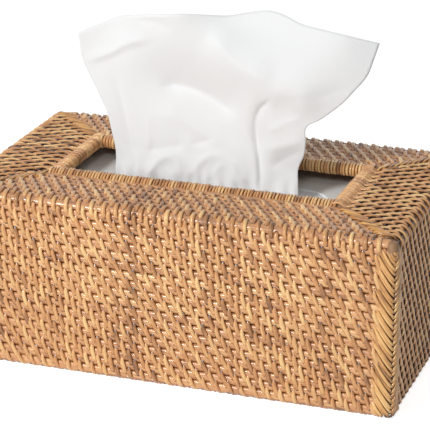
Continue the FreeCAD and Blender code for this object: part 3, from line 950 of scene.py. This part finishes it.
@dataclass
class PostEnd:
    """Rounded end of one corner post, which shows between the braid and the mitre."""

    cover: CoverSizes
    corner: Corner
    inset: float = 3.9
    profile: Line = ((3.3, 88.0), (3.35, 95.5), (3.1, 97.3), (2.5, 98.5), (1.5, 99.1), (0.7, 99.0),
                     (0.0, 98.8))
    steps: int = 20

    def build(self, finishes: Finishes) -> None:
        """Rolls a grid into the rod's end and puts it on the cover."""
        bm = bmesh.new()
        sign_x, sign_y = self.corner.value
        hub_x = sign_x * (self.cover.length / 2 - self.inset)
        hub_y = sign_y * (self.cover.width / 2 - self.inset)
        rings = len(self.profile) - 1
        made = bmesh.ops.create_grid(bm, x_segments=self.steps, y_segments=rings, size=0.5)["verts"]
        for vert in made:
            turn = 2 * math.pi * (round((vert.co.x + 0.5) * self.steps) % self.steps) / self.steps
            out, height = self.profile[round((vert.co.y + 0.5) * rings)]
            vert.co = Vector((hub_x + out * math.cos(turn), hub_y + out * math.sin(turn), height)) * MM
        bmesh.ops.remove_doubles(bm, verts=bm.verts, dist=1e-6)
        rim = [edge for edge in bm.edges if edge.is_boundary]
        bmesh.ops.holes_fill(bm, edges=rim, sides=self.steps)
        bmesh.ops.recalc_face_normals(bm, faces=bm.faces)
        item = new_object("post_end_" + self.corner.label, bm)
        attach(item, finishes.rod_z, "cover", "rod_rattan")


@dataclass
class MitreSheaf:
    """Strips that leave the weavers of one border and run out along the mitre at its far end."""

    wall: WovenWall
    seed: int
    strips: int = 2
    wide: float = 1.6
    thick: float = 1.3
    lead: float = 9.0
    reach: float = 10.0
    over: float = 4.0
    least_depth: float = 8.0
    corner_share: float = 1.4
    corner_gap: float = 8.0
    bow: float = 3.5
    straight: float = 6.0
    seat: float = 0.9
    rise: float = 2.4
    rise_share: float = 0.4
    dive: float = 2.6
    dive_share: float = 0.2
    layer: float = 0.05
    edge_run: float = 1.5
    edge_fall: float = 3.0
    edge_tilt: float = 0.9
    start_shade: float = 0.8
    start_share: float = 0.3
    end_shade: float = 0.9
    end_share: float = 0.15
    steps: int = 25

    def line(self, depth: float, share: np.ndarray,
             rng: np.random.Generator) -> tuple[np.ndarray, np.ndarray]:
        """Lays one strip from its weaver to the far side of the mitre.

        Args:
            depth: Depth of the weaver on the border.
            share: Shares of the strip's length.
            rng: The sheaf's scatter.

        Returns:
            Places along the border and depths.
        """
        cross = np.array([self.wall.half - depth, depth])
        outward, beyond = np.array([1.0, -1.0]) / math.sqrt(2), np.array([1.0, 1.0]) / math.sqrt(2)
        end = min(self.reach, self.corner_share * depth - self.corner_gap) + rng.normal(0, 0.4)
        knots = [cross - (self.lead, 0.0), cross - (self.bow, 0.0),
                 cross + outward * (end - self.straight) - beyond * 0.3,
                 cross + outward * end + beyond * self.over]
        rest = 1 - share
        weights = (rest ** 3, 3 * rest ** 2 * share, 3 * rest * share ** 2, share ** 3)
        spots = sum(np.outer(weight, knot) for weight, knot in zip(weights, knots))
        return spots[:, 0], spots[:, 1]

    def build(self, corner: Corner, finishes: Finishes) -> None:
        """Builds the sheaf and puts it on the cover.

        Args:
            corner: Corner that the sheaf runs to.
            finishes: The materials.
        """
        rng = np.random.default_rng(self.seed)
        cover = self.wall.cover
        mesh = StrandMesh(8)
        share = np.linspace(0, 1, self.steps)
        ahead = np.clip(1 - (1 - share) / self.dive_share, 0, 1)
        lift = self.rise * np.clip(share / self.rise_share, 0, 1) ** 1.5 - self.dive * ahead ** 2
        # Painted shade: each strip darkens towards both ends, where it comes from under the weavers and dives
        # under the strips beyond.
        shade = self.start_shade * np.clip(1 - share / self.start_share, 0, 1)
        shade = shade + self.end_shade * np.clip(1 - (1 - share) / self.end_share, 0, 1)
        runs = self.wall.rows[self.wall.rows > self.wall.path.edge_run - 1.0]
        depths = self.wall.path.at(runs)[0][:, 0]
        for row, depth in enumerate(depths):
            if depth < self.least_depth:
                continue
            for strip in range(self.strips):
                offset = (strip - (self.strips - 1) / 2) * self.wall.row_pitch / self.strips
                along, inward = self.line(depth + offset, share, rng)
                height = cover.top_plane - self.seat + lift - self.layer * row + rng.normal(0, 0.05)
                edge = np.clip(1 - inward / (cover.edge_round + self.edge_run), 0, 1)
                line = cover.place(self.wall.side, along, inward, height - self.edge_fall * edge ** 2)
                face = cover.heading(self.wall.side, 0.0, -self.edge_tilt * edge, 1.0)
                tone = pick_tone(rng, 0.5, 0.28, 0.1, 0.95)
                mesh.sweep(line, face, self.wide * rng.normal(1, 0.06) * MM, self.thick * MM, tone, shade)
        item = mesh.finish("mitre_sheaf_" + corner.label)
        attach(item, finishes.peel, "cover", "peel_rattan", "mitre_binding_" + corner.label)


@dataclass(frozen=True)
class Crease:
    """One crease of the tissue: a line on the sheet's outline plane and how it leaves that plane.

    Lines are X and height in millimetres, depth is towards the back where it is above 0.
    """

    line: Line
    depth: float
    upper: float
    lower: float
    fade: float
    bend: float = 1.1
    steps: int = 40

    def course(self) -> np.ndarray:
        """Returns the points of the line with its corners rounded off."""
        knots = np.array(self.line, dtype=float)
        runs = run_lengths(knots)
        line = along_line(np.linspace(0, runs[-1], self.steps), runs, knots)
        for _ in range(self.steps):
            line[1:-1] = (line[:-2] + 2 * line[1:-1] + line[2:]) / 4
        return line[::3]

    def lift(self, x: np.ndarray, z: np.ndarray) -> np.ndarray:
        """Returns how far the crease moves points of the sheet to the back."""
        best = np.full(x.shape, 1e9)
        side = np.zeros(x.shape)
        taper = np.zeros(x.shape)
        line = self.course()
        total = run_lengths(line)[-1]
        run = 0.0
        for start, end in zip(line, line[1:]):
            step = end - start
            length = float(np.linalg.norm(step))
            share = np.clip(((x - start[0]) * step[0] + (z - start[1]) * step[1]) / length ** 2, 0, 1)
            gap_x, gap_z = x - start[0] - share * step[0], z - start[1] - share * step[1]
            gap = np.hypot(gap_x, gap_z)
            closer = gap < best
            best = np.where(closer, gap, best)
            side = np.where(closer, (step[0] * gap_z - step[1] * gap_x) / length, side)
            place = run + share * length
            taper = np.where(closer, np.clip(np.minimum(place, total - place) / self.fade, 0, 1), taper)
            run += length
        width = self.lower + (self.upper - self.lower) * (0.5 + 0.5 * np.clip(side / 1.5, -1, 1))
        return self.depth * ease(taper) * np.exp((self.bend - np.hypot(best, self.bend)) / width)


@dataclass
class StandingTissue:
    """The tissue that stands through the opening: one sheet, gathered in the slit and flared above.

    Forms are X, height and depth to the back of points that the sheet's broad waves pass through.
    """

    columns: int = 190
    rows: int = 170
    tail_share: float = 0.22
    thick: float = 0.22
    flat: tuple[float, float] = (0.200, 0.190)
    left: Line = ((-56, 47.8), (-56, 88), (-57, 99), (-63, 127), (-78, 157), (-80, 172))
    right: Line = ((50, 47.8), (50.5, 92), (49, 107), (53, 113), (54, 124), (52.5, 131), (61, 135), (74, 146),
                   (88, 163), (94, 182))
    top: Line = ((-80, 172), (-55, 184), (-18, 188.3), (9, 189.5), (22, 193), (32.5, 195), (41, 193),
                 (50, 188.5), (94, 182))
    sight: Spot = (379.85, -1073.94, 496.2)
    slit_height: float = 84.0
    free_height: float = 99.0
    pleat_steep: float = 1.12
    pleat_step: float = 1.25
    pleat_most: float = 1.9
    pleat_end: float = 104.0
    turn: float = 0.085
    forward: float = 2.0
    forward_from: float = 108.0
    forward_ramp: float = 20.0
    crumple: float = 0.3
    base_height: float = 96.0
    base_ramp: float = 10.0
    sag_height: float = 60.0
    sag_ramp: float = 12.0
    plate_soft: float = 4.0
    ply_ramp: float = 0.006
    wander: float = 0.03
    ply_gap: float = 0.9
    tail_turns: Line = ((0.0, 52.0), (0.47, 83.4), (0.5, 84.0), (0.53, 83.4), (0.98, 48.4), (1.0, 47.9))
    forms: tuple[Spot, ...] = (
        (-80, 172, 12.9), (-55, 184, 13.1), (-25, 187, 3.7), (9, 189, 9.9), (32, 195, 9.4),
        (55, 187, 2.6), (75, 184, -0.6), (94, 182, 2.6), (-68, 165, 13.6), (-50, 174, 11.7),
        (-30, 179, 6.3), (-8, 182, 5.3), (-74, 152, 12.1), (-52, 160, 10.7), (-36, 166, 9.2),
        (-15, 170, 4.7), (-64, 135, 8.1), (-60, 118, 4), (-57, 98, 0.1), (-51, 145, 9.7),
        (-48, 125, 5.7), (-45, 107, 0.3), (-34, 152, 10.9), (-30, 128, 5.8), (-34, 113, 1),
        (-18, 159, 7.7), (0, 162, 3.6), (-12, 149, 8.8), (6, 148, 4.7), (21, 144, 0.5), (-22, 141, 9.8),
        (-5, 134, 8.1), (8, 126, 4.7), (17, 114, -0.6), (8, 175, 3.9), (25, 181, 6), (45, 177, 1.6),
        (65, 173, -2.4), (82, 168, -1.5), (20, 163, -0.5), (38, 160, -2.8), (58, 160, -4.2),
        (36, 150, -4.9), (52, 147, -6.8), (70, 152, -3.7), (45, 139, -3.8), (60, 140, -4.2),
        (22.5, 134, 1.5), (25, 118, 0.6), (28, 98, -5.6), (31, 132, -0.5), (33, 116, -2.8),
        (40, 126, -3), (47, 119, -5.1), (43, 106, -3.5), (50, 97, -5.7), (-46, 95, -2.8), (-27, 99, -4),
        (-10, 96, -5.4), (5, 103, -3.4), (17, 98, -5.2), (-16, 109, -1), (0, 115, 0.9),
    )
    creases: tuple[Crease, ...] = (
        Crease(((-77.4, 155.6), (-67, 158.9), (-60.3, 161.5), (-54.3, 166.7), (-47.1, 170),
                (-34, 172.1)), -1.71, 6.0, 1.5, 12.0),
        Crease(((-46.3, 183.2), (-39.8, 182.1), (-32.1, 182.8), (-23.7, 177.9)), 0.96, 1.6, 2.5, 6.0),
        Crease(((-34.3, 143.5), (-23.8, 149.2), (-7.7, 145.7), (4, 141.1),
                (17.1, 131.5)), 3.3, 10.0, 4.2, 14.0),
        Crease(((-32.9, 135.8), (-22.5, 128.2), (-7.7, 121), (7, 113.9)), -1.12, 7.0, 3.0, 12.0),
        Crease(((34.6, 145.1), (28.9, 142.8), (24.9, 137), (23.5, 129.9), (25.6, 121.5),
                (27.1, 113.5), (28.8, 88.5)), 2.08, 2.0, 1.5, 9.0),
        Crease(((17.1, 132.1), (22.7, 117.7), (25.7, 104), (27, 89.8)), -0.9, 2.0, 2.0, 9.0),
        Crease(((-40.1, 106.8), (-28.6, 109.6), (-16.1, 112.5)), 1.21, 3.0, 1.2, 6.0),
        Crease(((-14.3, 113), (-6.3, 115.9), (2.9, 119.8)), 0.99, 3.0, 1.2, 6.0),
        Crease(((-38.3, 130.3), (-38.6, 105.5)), -0.45, 1.5, 1.5, 6.0),
        Crease(((-37.8, 91.9), (-32.3, 103.8), (-25.6, 106.7), (-18.5, 102.5),
                (-15.5, 93.3)), -1.71, 2.2, 2.2, 7.0),
        Crease(((-12.6, 94.8), (-6.6, 106.8), (1.7, 110.6), (12.9, 104.3),
                (20.6, 91.6)), -1.52, 2.4, 2.4, 7.0),
        Crease(((-0.4, 96.3), (5.8, 105.2), (12.9, 99.9), (17, 92.4)), -0.95, 1.6, 1.6, 6.0),
        Crease(((29.7, 124.2), (40.2, 131.1), (52.5, 135.9)), -0.85, 3.0, 3.0, 7.0),
        Crease(((31, 103.4), (41.9, 111.7), (52.2, 117.5)), 1.03, 4.0, 2.0, 7.0),
        Crease(((29.7, 115), (41.8, 118.6), (53.2, 123.4)), -0.85, 2.5, 2.5, 7.0),
        Crease(((-59.9, 153.2), (-54.1, 135.1), (-51.4, 118.3), (-45, 98.8)), 0.95, 1.6, 3.0, 10.0),
        Crease(((-4.7, 179.6), (4, 174.2), (8.6, 165), (18.5, 158), (36.8, 153.6)), -2.3, 7.0, 7.0, 14.0),
        Crease(((29.6, 136.3), (41.5, 144.1), (61.3, 148.7), (82.1, 158.2)), 0.8, 7.0, 5.0, 16.0),
    )

    @staticmethod
    def edge(line: Line, share: np.ndarray) -> np.ndarray:
        """Returns points at shares of an edge's length, rounded between its knots."""
        knots = np.array(line, dtype=float)
        runs = run_lengths(knots)
        middle = share * runs[-1]
        spots = along_line(middle, runs, knots)
        near = [along_line(np.clip(middle + gap, 0, runs[-1]), runs, knots) for gap in (-4.0, -2.0, 2.0, 4.0)]
        return np.where(((share > 0) & (share < 1))[:, None], (spots + sum(near)) / 5, spots)

    def outline(self, u: np.ndarray, v: np.ndarray) -> tuple[np.ndarray, np.ndarray]:
        """Spreads the sheet between its four edges.

        Args:
            u: Shares from the left edge to the right one.
            v: Shares from the lower edge to the top one.

        Returns:
            X and height of every point.
        """
        left, right, top = self.edge(self.left, v), self.edge(self.right, v), self.edge(self.top, u)
        bottom = np.outer(1 - u, self.left[0]) + np.outer(u, self.right[0])
        corners = (self.left[0], self.right[0], self.left[-1], self.right[-1])
        spots = []
        for i in (0, 1):
            sides = (1 - u) * left[:, i] + u * right[:, i]
            ends = (1 - v) * bottom[:, i] + v * top[:, i]
            both = ((1 - u) * (1 - v) * corners[0][i] + u * (1 - v) * corners[1][i]
                    + (1 - u) * v * corners[2][i] + u * v * corners[3][i])
            spots.append(sides + ends - both)
        return spots[0], spots[1]

    def plate(self, gaps: np.ndarray) -> np.ndarray:
        """Returns the bend of a thin plate at gaps from a point that holds it."""
        square = (gaps ** 2).sum(axis=-1) + self.plate_soft
        return 0.5 * square * np.log(square)

    def depth(self, x: np.ndarray, z: np.ndarray) -> np.ndarray:
        """Returns how far each point stands to the back of the outline's plane."""
        held = np.array(self.forms)
        spots = held[:, :2]
        plane = np.column_stack([np.ones(len(spots)), spots])
        block = np.block([[self.plate(spots[:, None] - spots), plane], [plane.T, np.zeros((3, 3))]])
        weights = np.linalg.solve(block, np.concatenate([held[:, 2], np.zeros(3)]))
        here = np.stack([x, z], axis=-1)
        total = self.plate(here[:, None] - spots) @ weights[:-3] + weights[-3] + here @ weights[-2:]
        total = total + self.turn * x
        total = total - self.forward * np.clip((z - self.forward_from) / self.forward_ramp, 0, 1)
        for crease in self.creases:
            total = total + crease.lift(x, z)
        ripple = np.sin(x / 3.1 + z / 8.0) * np.sin(z / 4.6 - x / 12.0) * np.exp(-((z - 98) / 12) ** 2)
        free = np.clip((z - self.slit_height) / (self.free_height - self.slit_height), 0, 1)
        return (total + self.crumple * ripple) * ease(free) + self.pleats(x, z)

    def pleats(self, x: np.ndarray, z: np.ndarray) -> np.ndarray:
        """Returns the depth of the uneven gathers that the slit presses into the sheet."""
        wander = (z - self.slit_height) * self.wander * np.sin(x / 17.0)
        phase = x / self.pleat_step + 2.2 * np.sin(x / 9.1) + 1.1 * np.sin(x / 4.7 + 2.0) + wander
        tight = 1 / self.pleat_step + 2.2 / 9.1 * np.cos(x / 9.1) + 1.1 / 4.7 * np.cos(x / 4.7 + 2.0)
        deep = np.clip(self.pleat_steep / tight, 0, self.pleat_most)
        fade = np.clip((self.pleat_end - z) / (self.pleat_end - self.slit_height), 0, 1) ** 1.5
        return deep * np.sin(phase) * fade

    def build(self, finishes: Finishes) -> None:
        """Builds the sheet and puts it on its own body."""
        bm = bmesh.new()
        made = bmesh.ops.create_grid(bm, x_segments=self.columns, y_segments=self.rows, size=0.5)["verts"]
        shares = np.array([vert.co[:2] for vert in made]) + 0.5
        u, v = shares[:, 0], (shares[:, 1] - self.tail_share) / (1 - self.tail_share)
        x, z = self.outline(u, np.clip(v, 0, 1))
        y = self.depth(x, z)
        above = np.clip((z - self.base_height) / self.base_ramp, 0, 1)
        x = x + y * (x - self.sight[0]) / -self.sight[1] * above
        z = z + y * (z - self.sight[2]) / -self.sight[1] * above
        below = np.clip((self.base_height - z) / self.base_ramp, 0, 1)
        y = y - self.ply_gap * below * np.clip(v / self.ply_ramp, 0, 1)
        turn = shares[:, 1] / self.tail_share
        tail = v < 0
        z = np.where(tail, np.interp(turn, *zip(*self.tail_turns)), z)
        y = np.where(tail, y + np.interp(turn, (0.47, 0.53, 1.0), (self.ply_gap, 0.0, 0.0)), y)
        sag = 1.6 + np.sin(x / 11.0 + 0.5) + 0.6 * np.sin(x / 4.3)
        z = z + sag * np.clip((self.sag_height - z) / self.sag_ramp, 0, 1)
        for vert, spot in zip(made, np.stack([x, y, z], axis=-1) * MM):
            vert.co = spot
        bmesh.ops.smooth_vert(bm, verts=made, factor=0.5, use_axis_y=True)
        bmesh.ops.recalc_face_normals(bm, faces=bm.faces)
        item = new_object("tissue_sheet", bm)
        skin = item.modifiers.new("ply", "SOLIDIFY")
        skin.thickness = self.thick * MM
        skin.offset = 0.0
        attach(item, finishes.tissue, "tissue", "tissue", "tissue")


@dataclass
class TissuePile:
    """The folded tissues left in the carton, as layers with soft edges."""

    layers: int = 44
    inset: float = 0.5
    corner_round: float = 4.0
    wave: float = 0.12

    @staticmethod
    def upright(bm: bmesh.types.BMesh, height: float) -> list[bmesh.types.BMEdge]:
        """Returns the edges that run up most of a height."""
        return [edge for edge in bm.edges if abs(edge.verts[0].co.z - edge.verts[1].co.z) > height / 2]

    def build(self, finishes: Finishes) -> None:
        """Builds the pile and puts it on the refill."""
        low, high = (Vector(corner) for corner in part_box("tissue_stack"))
        bm = bmesh.new()
        size = high - low
        turn = Matrix.Translation((low + high) / 2) @ Matrix.Diagonal((*size, 1.0))
        bmesh.ops.create_cube(bm, size=1.0, matrix=turn)
        bmesh.ops.bevel(bm, geom=self.upright(bm, size.z), offset=self.corner_round * MM, segments=4,
                        profile=0.5, affect="EDGES", material=-1)
        bmesh.ops.subdivide_edges(bm, edges=self.upright(bm, size.z), cuts=2 * self.layers - 1,
                                  use_grid_fill=True)
        centre = (low + high) / 2
        for vert in bm.verts:
            level = int(round((vert.co.z - low.z) / size.z * 2 * self.layers))
            pull = self.inset * MM * (1.0 if level % 2 == 0 else 0.15 + 0.5 * math.sin(level * 1.7) ** 2)
            vert.co.x -= math.copysign(pull, vert.co.x - centre.x)
            vert.co.y -= math.copysign(pull, vert.co.y - centre.y)
            if 0 < level < 2 * self.layers:
                vert.co.z += self.wave * MM * math.sin(vert.co.x * 90 + level)
        bmesh.ops.recalc_face_normals(bm, faces=bm.faces)
        item = new_object("tissue_pile", bm, smooth=False)
        attach(item, finishes.tissue, "refill", "tissue_stack", "tissue_stack")


class FrameNodes:
    """The rods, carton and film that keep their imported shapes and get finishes."""

    def dress_all(self, finishes: Finishes) -> None:
        """Gives every node that still shows its material.

        Args:
            finishes: The materials.
        """
        for name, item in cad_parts.items():
            material = self.choose(name, finishes)
            if material is not None:
                dress(item, material)
                LOG.info("%s: %s", name, material.name)

    @staticmethod
    def choose(name: str, finishes: Finishes) -> bpy.types.Material | None:
        """Picks the finish of a node by its name."""
        if name == "carton":
            return finishes.board
        if name.startswith("slot_film"):
            return finishes.film
        if name == "frame_brads":
            return finishes.steel
        if name.startswith("corner_post"):
            return finishes.rod_z
        if "_rod_" in name:
            return finishes.rod_x if name.endswith(("front", "back")) else finishes.rod_y
        if name.startswith("hip_brace"):
            return finishes.rod_x
        return None


@dataclass(frozen=True)
class Lamp:
    """One soft box that faces the cover, with its place and side in metres and its power in watts."""

    name: str
    place: Spot
    side: float
    power: float

    def hang(self, aim: Spot) -> None:
        """Hangs the lamp and turns it to the point that it lights."""
        data = bpy.data.lights.new(self.name, "AREA")
        data.energy = self.power
        data.size = self.side
        item = bpy.data.objects.new(self.name, data)
        item.location = self.place
        item.rotation_euler = (Vector(aim) - Vector(self.place)).to_track_quat("-Z", "Y").to_euler()
        bpy.context.scene.collection.objects.link(item)


@dataclass
class Studio:
    """Floor, lights and camera."""

    eye: Spot = (0.37985, -1.07394, 0.4962)
    azimuth: float = 19.428
    elevation: float = 20.377
    lens: float = 180.97
    sensor: float = 36.0
    nearest: float = 0.01
    floor_size: float = 6.0
    floor_colour: Colour = (0.90, 0.90, 0.90)
    floor_glow: float = 0.76
    fill: float = 0.10
    aim: Spot = (0.0, 0.0, 0.08)
    lamps: tuple[Lamp, ...] = (
        Lamp("key", (-0.595, -1.28, 0.94), 0.35, 17.2),
        Lamp("front", (0.35, -1.42, 1.12), 0.35, 4.6),
        Lamp("rear", (0.30, 1.50, 1.40), 0.60, 4.5),
    )

    def camera(self) -> None:
        """Puts the camera where the photograph was taken from."""
        data = bpy.data.cameras.new("view")
        data.lens = self.lens
        data.sensor_width = self.sensor
        data.clip_start = self.nearest
        item = bpy.data.objects.new("view", data)
        item.location = self.eye
        item.rotation_euler = (math.radians(90 - self.elevation), 0.0, math.radians(self.azimuth))
        bpy.context.scene.collection.objects.link(item)
        bpy.context.scene.camera = item

    def floor(self) -> None:
        """Lays the pale floor."""
        bm = bmesh.new()
        bmesh.ops.create_grid(bm, x_segments=1, y_segments=1, size=self.floor_size / 2)
        item = new_object("floor", bm, smooth=False)
        material, tools, shader = new_material("pale_floor")
        glow = tools.maths("MULTIPLY", tools.seen(), self.floor_glow)
        tools.put(shader, Base_Color=(*self.floor_colour, 1.0), Roughness=1.0, Specular_IOR_Level=0.0,
                  Emission_Color=(1.0, 1.0, 1.0, 1.0), Emission_Strength=glow)
        dress(item, material)

    def world(self) -> None:
        """Surrounds the scene with soft light that the camera sees as white."""
        world = bpy.data.worlds.new("studio")
        bpy.context.scene.world = world
        world.use_nodes = True
        tools = NodeTools(world.node_tree)
        back = world.node_tree.nodes["Background"]
        white = tools.maths("MULTIPLY", tools.seen(), 1 - self.fill)
        tools.put(back, Color=(1.0, 1.0, 1.0, 1.0), Strength=tools.maths("ADD", white, self.fill))

    def build(self) -> None:
        """Builds the whole studio."""
        self.camera()
        self.floor()
        self.world()
        for lamp in self.lamps:
            lamp.hang(self.aim)
        bpy.context.scene.view_settings.view_transform = "Standard"


def main() -> None:
    """Builds and dresses the whole part in order."""
    logging.basicConfig(level=logging.INFO, format="%(message)s")
    finishes = Finishes()
    cover = CoverSizes()
    path = BorderPath(cover)
    Studio().build()
    far_corners = {WallSide.FRONT: Corner.FRONT_RIGHT, WallSide.RIGHT: Corner.BACK_RIGHT,
                   WallSide.BACK: Corner.BACK_LEFT, WallSide.LEFT: Corner.FRONT_LEFT}
    for seed, side in enumerate(WallSide):
        wall = WovenWall(cover, path, side, seed=11 + seed)
        wall.build(finishes)
        RimWrap(cover, path, side, seed=31 + seed).build(finishes)
        MitreSheaf(wall, seed=71 + seed).build(far_corners[side], finishes)
    for seed, corner in enumerate(Corner):
        CornerBraid(cover, corner, seed=51 + seed).build(finishes)
        PostEnd(cover, corner).build(finishes)
    StandingTissue().build(finishes)
    TissuePile().build(finishes)
    FrameNodes().dress_all(finishes)


if __name__ == "__main__":
    main()
